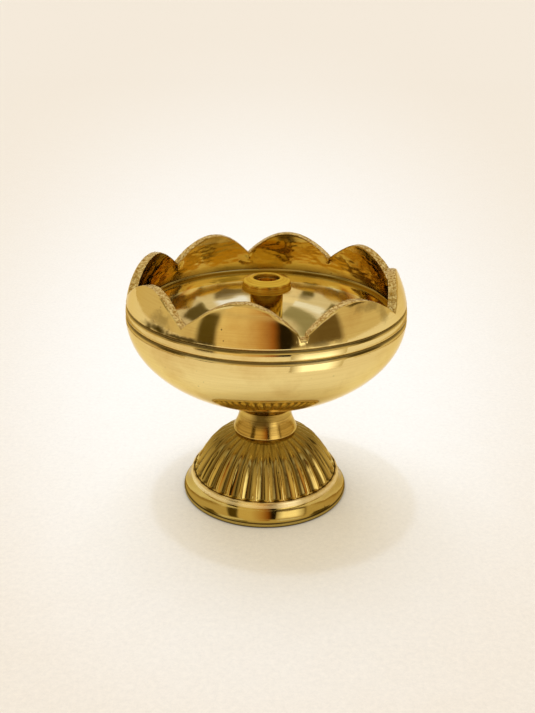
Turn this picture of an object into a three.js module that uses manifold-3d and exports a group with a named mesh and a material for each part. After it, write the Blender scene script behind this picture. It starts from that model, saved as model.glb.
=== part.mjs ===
// Pedestal diya: a cast and turned brass oil lamp. A deep bowl with eight petals stands on a turned neck and
// a hollow fluted foot, one bolt clamps them together, and a hollow wick holder lifts out of the bowl.
// Millimetres, +Z up, origin at the middle of the foot's base. Bearings run from the front (-Y) towards +X.
import * as THREE from 'three';
import Module from 'manifold-3d';
import { mergeVertices } from 'three/addons/utils/BufferGeometryUtils.js';

// Bowl: the belly is the widest turn of the lamp.
const BELLY_RADIUS = 39.98;
const BELLY_HEIGHT = 58.8;
const UNDERSIDE_LOW = 30;            // height at which the underside would close on the axis
const UNDERSIDE_BULGE = 0.6;         // how much fuller than that curve it is halfway up
const BULGE_LOW = 33;                // height at which that extra fullness begins
const BOSS_RADIUS = 7.6;             // turned boss under the bowl
const BOSS_SEAT_RADIUS = 6.8;        // its narrower seat, which leaves a dark ring above the neck
const WALL_FOOT_RADIUS = 39.7;       // outside of the wall just above the upper groove
const WALL_FOOT_HEIGHT = 61.6;
const WALL_LEAN = 0.175;             // how the petals lean in, and curve in, with height
const WALL_CURVE = 0.0222;
const WALL_THICK_LOW = 3.1;
const WALL_THICK_TIP = 2.5;
const GROOVE_DEPTH = 0.5;
const LEDGE_RADIUS = 35.2;           // inner edge of the turned step inside the bowl
const LEDGE_HEIGHT = 57.2;
const FLOOR_HEIGHT = 34.2;           // flat turned floor of the bowl
const FLOOR_CURVE_LOW = 33.2;

// Petals: the notches are sawn and filed by hand, so they are not quite evenly spaced.
const NOTCH_BEARINGS = [-33.3, 13.8, 60.8, 105, 148.4, 189.1, 228, 280.1];
const NOTCH_HEIGHTS = [64, 64, 64, 64, 63.5, 63.6, 63.2, 64];
const PETAL_TIPS = [71.8, 70.5, 71.2, 71.2, 71, 70.9, 70.8, 70.6];
const PETAL_LEANS = [0, 0, 0, 0.25, 0, 0, 0, 0]; // share by which a petal's tip leans to its first notch
const COLUMNS_PER_PETAL = 12;

// Foot: a flared rim over a plain lip, a thin turned groove, and a fluted dome, cast hollow.
const FOOT_RADIUS = 24.95;
const REST_INNER_RADIUS = 22.2;
const RIM_TOP_HEIGHT = 6.6;
const DOME_RADIUS = 20.4;
const DOME_LOW = 5.8;
const DOME_HIGH = 21;                // height at which the dome would close on the axis
const DOME_SKIRT = 1.1;              // how far the dome's lower part runs out past that curve
const SKIRT_HIGH = 12;               // height at which it starts to
const CROWN_HEIGHT = 19.35;          // flat crown that the neck stands on
const CROWN_UNDERSIDE = 15.6;
const HOLLOW_RADIUS = 18.6;
const HOLLOW_HIGH = 16.3;
const FLUTES = 32;
const FLUTE_DEPTH = 0.6;
const RIB_TOP_HALF = 1.2;            // degrees from a rib's middle to the edge of its crest
const RIB_FOOT_HALF = 3.4;           // degrees from a rib's middle to the bottom of the flute beside it
const FIRST_RIB = 3.6;

// Neck: a short turned collar with a sharp lower edge.
const NECK_TOP = 27.4;
const NECK_EDGE_RADIUS = 9.55;
const NECK_WAIST_RADIUS = 7.75;

// Fasteners: one hexagon bolt from below, with a nut inside the bowl.
const BOLT_RADIUS = 2.95;
const BOLT_LENGTH = 30;
const BOLT_HOLE_RADIUS = 3.2;
const HEX_CORNER_RADIUS = 5.77;      // 10 mm across the flats
const HEAD_THICK = 4;
const NUT_THICK = 5;
const BASE_WASHER_RADIUS = 7;
const BASE_WASHER_THICK = 1.2;
const SEAL_RADIUS = 8;
const SEAL_THICK = 1;
const CLAMP_WASHER_RADIUS = 7.8;
const CLAMP_WASHER_THICK = 0.8;

// Wick holder: a tube that drops over the nut, with a ring on top that the wick comes out of.
const WICK_BORE_RADIUS = 3.7;
const STEM_RADIUS = 4.65;
const STEM_TOP = 66;
const SKIRT_RADIUS = 7.3;
const SKIRT_BORE_RADIUS = 5.85;
const SKIRT_TOP = 47;
const PORT_WIDTH = 3.2;
const PORT_HEIGHT = 8.5;
const PORTS = 4;
const RING_LOW = 64.15;
const RING_LOW_RADIUS = 7.1;
const RING_TOP_RADIUS = 6.7;
const RING_SHOULDER = 66.6;
const RING_TOP = 67.5;
const RING_PRESS_GAP = 0.05;

const wasm = await Module();
wasm.setup();

const lamp = new THREE.Group();
const radians = THREE.MathUtils.degToRad;

const castBrass = { color: 0xc9a24f, roughness: 0.24, metalness: 1 };
const turnedBrass = { color: 0xd0aa58, roughness: 0.2, metalness: 1 };
const plainBrass = { color: 0xb8934a, roughness: 0.35, metalness: 1 };
const platedSteel = { color: 0xa9abac, roughness: 0.35, metalness: 1 };
const blackRubber = { color: 0x1c1b1a, roughness: 0.85, metalness: 0 };

function addPiece(name, geometry, look) {
  const piece = new THREE.Mesh(geometry, new THREE.MeshStandardMaterial(look));
  piece.name = name;
  lamp.add(piece);
}

function evenBearings(count) {
  return Array.from({ length: count }, (_, i) => (360 * i) / count);
}

// A turned solid. Each row of the closed outline is [radius, height], or a function of the column's bearing
// and number that gives them, where the shape changes on its way round.
function turned(rows, bearings) {
  const outline = rows.map(() => new THREE.Vector2(1, 0));
  outline.push(new THREE.Vector2(1, 0));
  const geometry = new THREE.LatheGeometry(outline, bearings.length);
  const position = geometry.attributes.position;
  for (let i = 0; i < position.count; i++) {
    const column = Math.floor(i / outline.length) % bearings.length;
    const row = rows[(i % outline.length) % rows.length];
    const [radius, height] = typeof row === 'function' ? row(bearings[column], column) : row;
    const angle = radians(bearings[column]);
    position.setXYZ(i, radius * Math.sin(angle), -radius * Math.cos(angle), height);
  }
  return geometry;
}

function washer(innerRadius, outerRadius, low, thick) {
  const high = low + thick;
  const rows = [[outerRadius, low], [outerRadius, high], [innerRadius, high], [innerRadius, low]];
  return turned(rows, evenBearings(40));
}

function toSolid(geometry) {
  const bare = geometry.index ? geometry.clone() : geometry;
  bare.deleteAttribute('normal');
  bare.deleteAttribute('uv');
  const welded = mergeVertices(bare, 1e-4);
  return new wasm.Manifold(new wasm.Mesh({
    numProp: 3,
    vertProperties: new Float32Array(welded.attributes.position.array),
    triVerts: new Uint32Array(welded.index.array),
  }));
}

function toGeometry(solid) {
  const mesh = solid.getMesh();
  const geometry = new THREE.BufferGeometry();
  geometry.setAttribute('position', new THREE.BufferAttribute(mesh.vertProperties, 3));
  geometry.setIndex(new THREE.BufferAttribute(mesh.triVerts, 1));
  return geometry;
}

function hexagon(low, thick, holeRadius) {
  const outline = new THREE.Shape();
  for (let i = 0; i < 6; i++) {
    const angle = radians(60 * i);
    const point = [HEX_CORNER_RADIUS * Math.cos(angle), HEX_CORNER_RADIUS * Math.sin(angle)];
    if (i === 0) outline.moveTo(...point);
    else outline.lineTo(...point);
  }
  outline.closePath();
  if (holeRadius) outline.holes.push(new THREE.Path().absarc(0, 0, holeRadius, 0, 2 * Math.PI, true));
  const geometry = new THREE.ExtrudeGeometry(outline, { depth: thick, bevelEnabled: false, curveSegments: 32 });
  return geometry.translate(0, 0, low);
}

// A round curve that is widest at one height and closes on the axis at another.
function swell(radius, wideHeight, closeHeight, roundness, fullness) {
  return (z) => {
    const t = THREE.MathUtils.clamp((z - wideHeight) / (closeHeight - wideHeight), 0, 1);
    return radius * (1 - t ** roundness) ** (1 / fullness);
  };
}

// Evenly shared heights from one level to another, ends included.
function levels(from, to, count) {
  return Array.from({ length: count }, (_, i) => from + ((to - from) * i) / (count - 1));
}

// Foot

const domeSwell = swell(DOME_RADIUS, DOME_LOW, DOME_HIGH, 1.808, 2.216);
const hollowRadius = swell(HOLLOW_RADIUS, DOME_LOW, HOLLOW_HIGH, 2, 2.6);

function domeRadius(z) {
  const share = THREE.MathUtils.clamp((SKIRT_HIGH - z) / (SKIRT_HIGH - 6.9), 0, 1);
  return domeSwell(z) + DOME_SKIRT * share ** 1.3;
}

function ribBearings() {
  const pitch = 360 / FLUTES;
  const steps = [-RIB_TOP_HALF, RIB_TOP_HALF, RIB_FOOT_HALF, pitch - RIB_FOOT_HALF];
  const middles = Array.from({ length: FLUTES }, (_, i) => FIRST_RIB + pitch * i);
  return middles.flatMap((middle) => steps.map((step) => middle + step));
}

// A row of the dome: two columns in four lie in the flutes, which are sunk square to the dome's surface.
function domeRow(z, depthShare) {
  const step = 0.05;
  const slope = (domeRadius(z + step) - domeRadius(z - step)) / (2 * step);
  const length = Math.hypot(1, slope);
  const depth = FLUTE_DEPTH * depthShare;
  return (bearing, column) => {
    const sunk = column % 4 >= 2 ? depth : 0;
    return [domeRadius(z) - sunk / length, z + (sunk * slope) / length];
  };
}

const footRows = [
  [REST_INNER_RADIUS, 0],
  [FOOT_RADIUS - 0.25, 0],
  [FOOT_RADIUS, 0.3],
  [FOOT_RADIUS - 0.1, 1.35],
  [24.2, 1.95],
  [23.75, 2.6],
  [23.3, 3.4],
  [22.9, 4.3],
  [22.6, 5.2],
  [22.35, 6.1],
  [22.1, RIM_TOP_HEIGHT],
  [21.8, RIM_TOP_HEIGHT],
  [21.65, RIM_TOP_HEIGHT - 0.3],
  domeRow(6.7, 0),
  domeRow(7.4, 1),
  domeRow(9, 1),
  domeRow(10.8, 1),
  domeRow(12.8, 1),
  domeRow(15, 1),
  domeRow(16.8, 0.9),
  domeRow(18.2, 0.7),
  [NECK_EDGE_RADIUS + 0.1, CROWN_HEIGHT],
  [BOLT_HOLE_RADIUS, CROWN_HEIGHT],
  [BOLT_HOLE_RADIUS, CROWN_UNDERSIDE],
  ...levels(CROWN_UNDERSIDE, DOME_LOW + 0.8, 5).map((z) => [hollowRadius(z), z]),
  [REST_INNER_RADIUS - 1, 3.4],
];
addPiece('foot', turned(footRows, ribBearings()), castBrass);

// Neck

const neckRows = [
  [NECK_EDGE_RADIUS - 0.5, CROWN_HEIGHT],
  [NECK_EDGE_RADIUS - 0.5, CROWN_HEIGHT + 0.4],
  [NECK_EDGE_RADIUS, CROWN_HEIGHT + 0.8],
  [NECK_EDGE_RADIUS - 0.05, CROWN_HEIGHT + 1.1],
  [9.05, 21.7],
  [8.4, 23.1],
  [7.95, 24.6],
  [NECK_WAIST_RADIUS, 26],
  [NECK_WAIST_RADIUS + 0.2, 27.05],
  [NECK_WAIST_RADIUS, NECK_TOP],
  [BOLT_HOLE_RADIUS, NECK_TOP],
  [BOLT_HOLE_RADIUS, CROWN_HEIGHT],
];
addPiece('neck_collar', turned(neckRows, evenBearings(48)), turnedBrass);

// Bowl

const undersideSwell = swell(BELLY_RADIUS, BELLY_HEIGHT, UNDERSIDE_LOW, 2.04, 1.68);
const basinRadius = swell(LEDGE_RADIUS, LEDGE_HEIGHT, FLOOR_CURVE_LOW, 2.1, 1.7);

function undersideRadius(z) {
  const share = THREE.MathUtils.clamp((z - BULGE_LOW) / (BELLY_HEIGHT - BULGE_LOW), 0, 1);
  return undersideSwell(z) + UNDERSIDE_BULGE * Math.sin(Math.PI * share);
}

function wallRadius(z) {
  const rise = z - WALL_FOOT_HEIGHT;
  return WALL_FOOT_RADIUS - WALL_LEAN * rise - WALL_CURVE * rise * rise;
}

function innerWallRadius(z) {
  const share = (z - LEDGE_HEIGHT) / (PETAL_TIPS[0] - LEDGE_HEIGHT);
  return wallRadius(z) - THREE.MathUtils.lerp(WALL_THICK_LOW, WALL_THICK_TIP, share);
}

function petalBearings() {
  return NOTCH_BEARINGS.flatMap((from, i) => {
    const to = i + 1 < NOTCH_BEARINGS.length ? NOTCH_BEARINGS[i + 1] : NOTCH_BEARINGS[0] + 360;
    return levels(from, to, COLUMNS_PER_PETAL + 1).slice(0, COLUMNS_PER_PETAL);
  });
}

// Height of the rim: a round-headed arch over each petal, down to a sharp notch on each side.
function rimHeight(column) {
  const petal = Math.floor(column / COLUMNS_PER_PETAL);
  const share = (column % COLUMNS_PER_PETAL) / COLUMNS_PER_PETAL;
  const across = 2 * (share + PETAL_LEANS[petal] * share * (1 - share)) - 1;
  const notch = NOTCH_HEIGHTS[(petal + (across > 0 ? 1 : 0)) % NOTCH_HEIGHTS.length];
  return THREE.MathUtils.lerp(PETAL_TIPS[petal], notch, across * across);
}

function petalRow(share, radiusAt) {
  return (bearing, column) => {
    const z = THREE.MathUtils.lerp(WALL_FOOT_HEIGHT, rimHeight(column), share);
    return [radiusAt(z), z];
  };
}

const lowerGroove = [57.35, 57.65, 58.5, 58.8];
const upperGroove = [60.35, 60.6, 61.3, WALL_FOOT_HEIGHT];

function grooveRows(heights, radiusAt) {
  return heights.map((z, i) => [radiusAt(z) - (i === 1 || i === 2 ? GROOVE_DEPTH : 0), z]);
}

const bandRadius = (z) => THREE.MathUtils.mapLinear(z, 58.8, WALL_FOOT_HEIGHT, BELLY_RADIUS, WALL_FOOT_RADIUS);
const bowlRows = [
  [BOLT_HOLE_RADIUS, NECK_TOP],
  [BOSS_SEAT_RADIUS, NECK_TOP],
  [BOSS_SEAT_RADIUS, NECK_TOP + 0.7],
  [BOSS_RADIUS, NECK_TOP + 0.9],
  [BOSS_RADIUS + 0.1, 30.4],
  ...[31.2, 32.6, 35, 38.5, 43, 48, 53].map((z) => [undersideRadius(z), z]),
  ...grooveRows(lowerGroove, undersideRadius),
  ...grooveRows(upperGroove, bandRadius),
  petalRow(0.5, wallRadius),
  petalRow(0.96, wallRadius),
  petalRow(1, (z) => wallRadius(z) - 0.3),
  petalRow(1, (z) => innerWallRadius(z) + 0.3),
  petalRow(0.96, innerWallRadius),
  petalRow(0.4, innerWallRadius),
  [innerWallRadius(LEDGE_HEIGHT + 0.9), LEDGE_HEIGHT + 0.9],
  ...[LEDGE_HEIGHT, 52, 46, 41, 37.2, 35.2, FLOOR_HEIGHT].map((z) => [basinRadius(z), z]),
  [BOLT_HOLE_RADIUS, FLOOR_HEIGHT],
];
addPiece('bowl', turned(bowlRows, petalBearings()), castBrass);

// Fasteners

const headTop = CROWN_UNDERSIDE - BASE_WASHER_THICK;
addPiece('base_washer', washer(BOLT_HOLE_RADIUS, BASE_WASHER_RADIUS, headTop, BASE_WASHER_THICK), platedSteel);

function boltGeometry() {
  const shank = new THREE.CylinderGeometry(BOLT_RADIUS, BOLT_RADIUS, BOLT_LENGTH + 1, 40);
  shank.rotateX(Math.PI / 2).translate(0, 0, headTop + (BOLT_LENGTH - 1) / 2);
  return toGeometry(toSolid(hexagon(headTop - HEAD_THICK, HEAD_THICK)).add(toSolid(shank)));
}
addPiece('tie_bolt', boltGeometry(), platedSteel);

const sealTop = FLOOR_HEIGHT + SEAL_THICK;
const stemSeat = sealTop + CLAMP_WASHER_THICK;
addPiece('seal_washer', washer(BOLT_HOLE_RADIUS, SEAL_RADIUS, FLOOR_HEIGHT, SEAL_THICK), blackRubber);
addPiece('clamp_washer', washer(BOLT_HOLE_RADIUS, CLAMP_WASHER_RADIUS, sealTop, CLAMP_WASHER_THICK), plainBrass);
addPiece('clamp_nut', hexagon(stemSeat, NUT_THICK, BOLT_RADIUS + 0.08), plainBrass);

// Wick holder

function stemGeometry() {
  const rows = [
    [SKIRT_RADIUS, stemSeat],
    [SKIRT_RADIUS, SKIRT_TOP - 2.4],
    [STEM_RADIUS, SKIRT_TOP],
    [STEM_RADIUS, STEM_TOP],
    [WICK_BORE_RADIUS, STEM_TOP],
    [WICK_BORE_RADIUS, SKIRT_TOP - 0.8],
    [SKIRT_BORE_RADIUS, SKIRT_TOP - 2.6],
    [SKIRT_BORE_RADIUS, stemSeat],
  ];
  let stem = toSolid(turned(rows, evenBearings(48)));
  for (let i = 0; i < PORTS; i++) {
    const port = new THREE.BoxGeometry(PORT_WIDTH, SKIRT_RADIUS, 2 * PORT_HEIGHT);
    port.translate(0, SKIRT_RADIUS, stemSeat).rotateZ(radians(45 + (360 * i) / PORTS));
    stem = stem.subtract(toSolid(port));
  }
  return toGeometry(stem);
}
addPiece('wick_stem', stemGeometry(), turnedBrass);

const ringRows = [
  [STEM_RADIUS + RING_PRESS_GAP, RING_LOW],
  [RING_LOW_RADIUS - 0.25, RING_LOW],
  [RING_LOW_RADIUS, RING_LOW + 0.25],
  [RING_TOP_RADIUS, RING_SHOULDER],
  [WICK_BORE_RADIUS + 0.25, RING_TOP],
  [WICK_BORE_RADIUS, RING_TOP - 0.25],
  [WICK_BORE_RADIUS, STEM_TOP + RING_PRESS_GAP],
  [STEM_RADIUS + RING_PRESS_GAP, STEM_TOP + RING_PRESS_GAP],
];
addPiece('wick_ring', turned(ringRows, evenBearings(48)), turnedBrass);

export default lamp;
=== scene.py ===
# %% [markdown]
# # A brass pedestal diya
# This lamp is a cast brass bowl with eight petals, a turned neck and a fluted foot, clamped together by one
# bolt, with a hollow wick holder standing loose in the bowl. Almost every piece came off a lathe, so almost
# every piece here is a flat cross-section that is spun round the upright axis. What is not round, such as the
# petals, the flutes and the hexagons, is pushed into shape after the spin.

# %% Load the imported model
import math

import bmesh
import bpy
from mathutils import Matrix, Vector, noise


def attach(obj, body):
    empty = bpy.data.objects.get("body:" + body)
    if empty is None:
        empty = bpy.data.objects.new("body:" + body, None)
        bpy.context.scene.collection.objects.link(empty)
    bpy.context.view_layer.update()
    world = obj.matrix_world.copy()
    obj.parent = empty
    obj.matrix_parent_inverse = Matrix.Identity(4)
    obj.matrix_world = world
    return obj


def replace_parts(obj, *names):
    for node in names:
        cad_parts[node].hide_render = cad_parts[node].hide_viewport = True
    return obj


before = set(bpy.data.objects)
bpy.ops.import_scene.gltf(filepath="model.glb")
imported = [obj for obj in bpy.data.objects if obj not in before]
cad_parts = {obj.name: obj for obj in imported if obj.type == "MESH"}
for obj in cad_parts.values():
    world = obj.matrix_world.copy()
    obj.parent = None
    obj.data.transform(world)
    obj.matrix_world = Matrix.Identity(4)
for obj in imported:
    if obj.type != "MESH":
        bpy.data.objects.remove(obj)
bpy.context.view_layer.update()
MM = 0.001
print("nodes", sorted(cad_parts))

# %% [markdown]
# ## Camera
# The photograph looks down on the lamp from the front. The viewpoint, the pitch and the focal length were
# fitted to the outlines of the grooves, the foot and the notches. A lens in millimetres on a 36 mm sensor is
# the focal length in pixels times 36 over the longer side of the picture. The camera also rolls by about half
# a degree.

# %% Camera
PHOTO_HEIGHT_PX = 713
FOCAL_PX = 899.6
SENSOR_MM = 36
CAMERA_PLACE = Vector((0, -242.8, 146.8)) * MM
CAMERA_PITCH = math.radians(23.16)
CAMERA_YAW = math.radians(0.11)
CAMERA_ROLL = math.radians(0.63)


def make_camera():
    data = bpy.data.cameras.new("photo_camera")
    data.sensor_width = SENSOR_MM
    data.lens = FOCAL_PX * SENSOR_MM / PHOTO_HEIGHT_PX
    data.clip_start = 0.01
    camera = bpy.data.objects.new("photo_camera", data)
    bpy.context.scene.collection.objects.link(camera)
    turn = Matrix.Rotation(-CAMERA_YAW, 4, "Z") @ Matrix.Rotation(math.radians(90) - CAMERA_PITCH, 4, "X")
    camera.matrix_world = Matrix.Translation(CAMERA_PLACE) @ turn @ Matrix.Rotation(CAMERA_ROLL, 4, "Z")
    bpy.context.scene.camera = camera
    return camera


camera = make_camera()
print("camera at", [round(c, 4) for c in camera.matrix_world.translation], "lens", round(camera.data.lens, 2))

# %% [markdown]
# ## Small helpers
# Colours are written as sRGB hex values, the way a picture shows them, and are turned to linear light here.
# The function called add makes one shader node: its settings are keywords, its sockets are a dictionary, and
# a socket that is given another node's output is linked to it. Five short ones use it for the nodes that come
# often: clouds, ranged, maths, mixed and bumped. The others start a material, turn a finished bmesh into an
# object, hold a number between 0 and 1, and give a point's bearing round the lamp, in degrees from the front.

# %% Helpers for colours, nodes and objects


def linear(hex_colour):
    channels = [int(hex_colour[i:i + 2], 16) / 255 for i in (1, 3, 5)]
    return [c / 12.92 if c <= 0.04045 else ((c + 0.055) / 1.055) ** 2.4 for c in channels] + [1.0]


def add(tree, kind, sockets=None, **settings):
    node = tree.nodes.new(kind)
    for key, value in settings.items():
        setattr(node, key, value)
    for key, value in (sockets or {}).items():
        if isinstance(value, bpy.types.NodeSocket):
            tree.links.new(value, node.inputs[key])
        else:
            node.inputs[key].default_value = value
    return node


def repeats(size_mm):
    return 1 / (size_mm * MM)


def clouds(tree, vector, scale, detail, **more):
    return add(tree, "ShaderNodeTexNoise", {"Vector": vector, "Scale": scale, "Detail": detail,
                                            **more}).outputs["Fac"]


def ranged(tree, value, low, high, to_low=0, to_high=1, **settings):
    return add(tree, "ShaderNodeMapRange", {"Value": value, "From Min": low, "From Max": high,
                                            "To Min": to_low, "To Max": to_high}, **settings).outputs[0]


def maths(tree, operation, *values, **settings):
    return add(tree, "ShaderNodeMath", dict(enumerate(values)), operation=operation, **settings).outputs[0]


def mixed(tree, share, first, second, **settings):
    return add(tree, "ShaderNodeMix", {"Factor": share, "A": first, "B": second}, data_type="RGBA",
               **settings).outputs["Result"]


def bumped(tree, height, depth_mm, strength=1, normal=None, **settings):
    sockets = {"Height": height, "Strength": strength, "Distance": depth_mm * MM}
    if normal is not None:
        sockets["Normal"] = normal
    return add(tree, "ShaderNodeBump", sockets, **settings).outputs[0]


def new_material(name):
    material = bpy.data.materials.new(name)
    material.use_nodes = True
    material.node_tree.nodes.clear()
    return material, material.node_tree


def new_object(name, mesh, *materials):
    data = bpy.data.meshes.new(name)
    mesh.to_mesh(data)
    mesh.free()
    for material in materials:
        data.materials.append(material)
    piece = bpy.data.objects.new(name, data)
    bpy.context.scene.collection.objects.link(piece)
    return piece


def clamp(value):
    return min(max(value, 0), 1)


def bearing_of(spot):
    return math.degrees(math.atan2(spot.x, -spot.y))


print("brass straw is", [round(c, 3) for c in linear("#E4C681")])

# %% [markdown]
# ## Coordinates for a turned surface
# A lathe leaves rings: lines that run round the axis at one height on an upright wall, or at one radius on a
# flat face. A pattern that reads the radius and the height, and hardly the bearing, draws such rings on any
# turned surface, whichever way it faces. The small share of x and y lets a line start and stop on its way
# round.

# %% Ring coordinates


def ring_coordinates(tree, spacing_mm, drift):
    place = add(tree, "ShaderNodeTexCoord").outputs["Object"]
    flat = add(tree, "ShaderNodeVectorMath", {0: place, 1: (1, 1, 0)}, operation="MULTIPLY")
    radius = add(tree, "ShaderNodeVectorMath", {0: flat.outputs[0]}, operation="LENGTH")
    apart = add(tree, "ShaderNodeSeparateXYZ", {0: place})
    slow = maths(tree, "MULTIPLY", maths(tree, "SUBTRACT", apart.outputs["X"], apart.outputs["Y"]), drift)
    ring = add(tree, "ShaderNodeCombineXYZ", {0: radius.outputs["Value"], 1: slow, 2: apart.outputs["Z"]})
    return add(tree, "ShaderNodeVectorMath", {0: ring.outputs[0], 1: (repeats(spacing_mm),) * 3},
               operation="MULTIPLY").outputs[0]


print("ring coordinates read the radius and the height")

# %% [markdown]
# ## Polished brass
# Yellow brass (about 63% copper, 37% zinc) reflects red and yellow strongly and blue weakly, so a single
# reflection of white is a pale straw colour, and light that bounces two or three times inside the petals
# turns deep amber. That amber comes mostly from the metal's colour, and the deeper brass given to the inside
# adds painted shade to it. The surface is cast, turned and buffed, which leaves fine rings, a few small
# casting pits and some tarnish. The rings scatter light across themselves, so a mirrored edge stays sharp
# sideways and is smeared up and down, which anisotropy gives. The real rings are about 0.1 mm apart, too fine
# for this picture, so they are drawn 0.3 to 0.6 mm apart. Buffing by hand leaves shallow waves a few
# millimetres long, longer round the lamp than up it, which bend what the metal mirrors into swirls. Inside the
# petals they are short and strong down to the step, and in the basin they are wider. Brush marks add streaks
# of a warmer haze, most on the neck and the ring, which were only turned. Seen edge-on, brass keeps a straw
# tint where silver turns white. Where tarnish lies, and where shade is painted in as a darker colour, is given
# on each piece as a number from 0 to 1 in a point attribute, which darkens the colour and roughens the metal.

# %% Brass material
EDGE_COLOUR = "#F4E6C0"
PIT_SPACING_MM = 2.4
PIT_CLUSTER_MM = 7
TARNISH_PATCH_MM = 16
PITS_TARNISH_AND_SHADE_ROUGHNESS = 0.16
WAVE_SQUASH = 2.2
RING_STRETCH = 0.5
ACROSS_THE_RINGS = 0.25


def brass(name, colour, tarnish_and_shade_colour, roughness, line_mm, line_depth_mm, wave_mm, wave_depth_mm,
          flaw_depth_mm, haze_colour="#C89A4C", streaks=0.16, calm_below_mm=0):
    material, tree = new_material(name)
    place = add(tree, "ShaderNodeTexCoord").outputs["Object"]
    fine = clouds(tree, ring_coordinates(tree, line_mm, 0.02), 1, 3, Roughness=0.6)
    wide = clouds(tree, ring_coordinates(tree, line_mm * 6, 0.05), 1, 2)
    brush = clouds(tree, ring_coordinates(tree, line_mm * 0.9, 0.015), 1, 2, Roughness=0.7)
    pits = add(tree, "ShaderNodeTexVoronoi", {"Vector": place, "Scale": repeats(PIT_SPACING_MM)}, feature="F1")
    pit = ranged(tree, pits.outputs["Distance"], 0.03, 0.11, 1, 0)
    patch = clouds(tree, place, repeats(TARNISH_PATCH_MM), 5, Roughness=0.6)
    cluster = ranged(tree, clouds(tree, place, repeats(PIT_CLUSTER_MM), 1), 0.52, 0.6)
    flaw = maths(tree, "MULTIPLY", pit, cluster)
    # The attribute read here holds tarnish and painted shade together, as darker colour, in one number.
    tarnish_and_shade_amount = add(tree, "ShaderNodeAttribute", attribute_name="tarnish_and_shade").outputs["Fac"]
    haze = ranged(tree, patch, 0.5, 0.75, 0, 0.5)
    streak = ranged(tree, brush, 0.42, 0.7, 0, streaks)
    bloom = maths(tree, "ADD", streak, haze, use_clamp=True)
    pits_tarnish_and_shade = maths(tree, "MULTIPLY_ADD", flaw, 0.5, tarnish_and_shade_amount, use_clamp=True)
    clean = mixed(tree, bloom, linear(colour), linear(haze_colour))
    tint = mixed(tree, pits_tarnish_and_shade, clean, linear(tarnish_and_shade_colour))
    worn = ranged(tree, wide, 0.3, 0.7, roughness * 0.75, roughness * 1.3)
    rough = maths(tree, "MULTIPLY_ADD", pits_tarnish_and_shade, PITS_TARNISH_AND_SHADE_ROUGHNESS, worn)
    lines = bumped(tree, fine, line_depth_mm)
    sunk = bumped(tree, flaw, flaw_depth_mm, normal=lines, invert=True)
    squashed = add(tree, "ShaderNodeVectorMath", {0: place, 1: (1, 1, WAVE_SQUASH)}, operation="MULTIPLY")
    wave = clouds(tree, squashed.outputs[0], repeats(wave_mm), 0)
    height = add(tree, "ShaderNodeSeparateXYZ", {0: place}).outputs["Z"]
    swirl = ranged(tree, height, (calm_below_mm - 4) * MM, calm_below_mm * MM, 0.3, 1)
    buffed = bumped(tree, wave, wave_depth_mm, swirl, sunk)
    round_axis = add(tree, "ShaderNodeTangent", direction_type="RADIAL", axis="Z")
    shader = add(tree, "ShaderNodeBsdfPrincipled", {
        "Base Color": tint, "Specular Tint": linear(EDGE_COLOUR), "Metallic": 1, "Roughness": rough,
        "Normal": buffed, "Anisotropic": RING_STRETCH,
        "Anisotropic Rotation": ACROSS_THE_RINGS, "Tangent": round_axis.outputs[0]})
    add(tree, "ShaderNodeOutputMaterial", {"Surface": shader.outputs[0]})
    print("material", name, "with", len(tree.nodes), "nodes")
    return material


bowl_outside = brass("buffed_brass_bowl", "#EED893", "#4A3A10", 0.085, 0.35, 0.003, 7, 0.035, 0.03)
# The inside and the basin are one casting with the outside: the inside is given a deeper brass, which is
# painted shade, and the basin a paler one, which is painted light.
bowl_inside_painted_deeper = brass("buffed_brass_inside_painted_deeper", "#E8CC70", "#4A3A0C", 0.085, 0.35, 0.003, 2.5, 0.085, 0.02,
                    streaks=0.1, calm_below_mm=62)
basin_brass_painted_paler = brass("buffed_brass_floor_painted_paler", "#F6ECC4", "#4A3A0C", 0.1, 0.35, 0.004, 6, 0.1, 0.02, streaks=0.12)
foot_brass = brass("buffed_brass_foot", "#DFC570", "#3A2A06", 0.06, 0.3, 0.0015, 5, 0.05, 0.02)
shoulder_brass = brass("brushed_brass_shoulder", "#F6E4AC", "#7A5E20", 0.3, 0.35, 0.02, 9, 0.0, 0.0)
neck_brass = brass("turned_brass_neck", "#CDAA58", "#3E2C08", 0.17, 0.6, 0.02, 9, 0.0, 0.0,
                   haze_colour="#8A6A24", streaks=0.7)
ring_brass = brass("turned_brass_ring", "#F6DC6A", "#7A5E20", 0.24, 0.5, 0.02, 9, 0.0, 0.0,
                   haze_colour="#C8982C", streaks=0.7)
turned_bright = brass("turned_brass_tube", "#E4CC78", "#7A5E20", 0.07, 0.4, 0.004, 9, 0.0, 0.0)
mill_brass = brass("machined_brass_bar", "#C9A65C", "#7A5A20", 0.32, 0.4, 0.01, 9, 0.0, 0.0)

# %% [markdown]
# ## Filed brass
# The petals' edges are filed by hand, so they stay grainy and glitter; painted glints in the colour add to the
# glitter. The grain of a medium file is about 0.4 mm, drawn coarser here, at 0.7 mm, so that it shows.

# %% Filed edge material
FILE_GRAIN_MM = 0.7
FILE_DEPTH_MM = 0.26


def filed_brass():
    material, tree = new_material("filed_brass")
    place = add(tree, "ShaderNodeTexCoord").outputs["Object"]
    grain = clouds(tree, place, repeats(FILE_GRAIN_MM), 3)
    grain_and_painted_glints = clouds(tree, place, repeats(FILE_GRAIN_MM), 2, Distortion=0.8)
    # Bright and dark specks in the colour are partly the file's grain and partly painted glints.
    tint = mixed(tree, ranged(tree, grain_and_painted_glints, 0.36, 0.62), linear("#FFF0C4"), linear("#B8954A"))
    shader = add(tree, "ShaderNodeBsdfPrincipled", {"Base Color": tint, "Metallic": 1, "Roughness": 0.17,
                                                    "Normal": bumped(tree, grain, FILE_DEPTH_MM)})
    add(tree, "ShaderNodeOutputMaterial", {"Surface": shader.outputs[0]})
    return material


filed = filed_brass()
print("material", filed.name)

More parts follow.
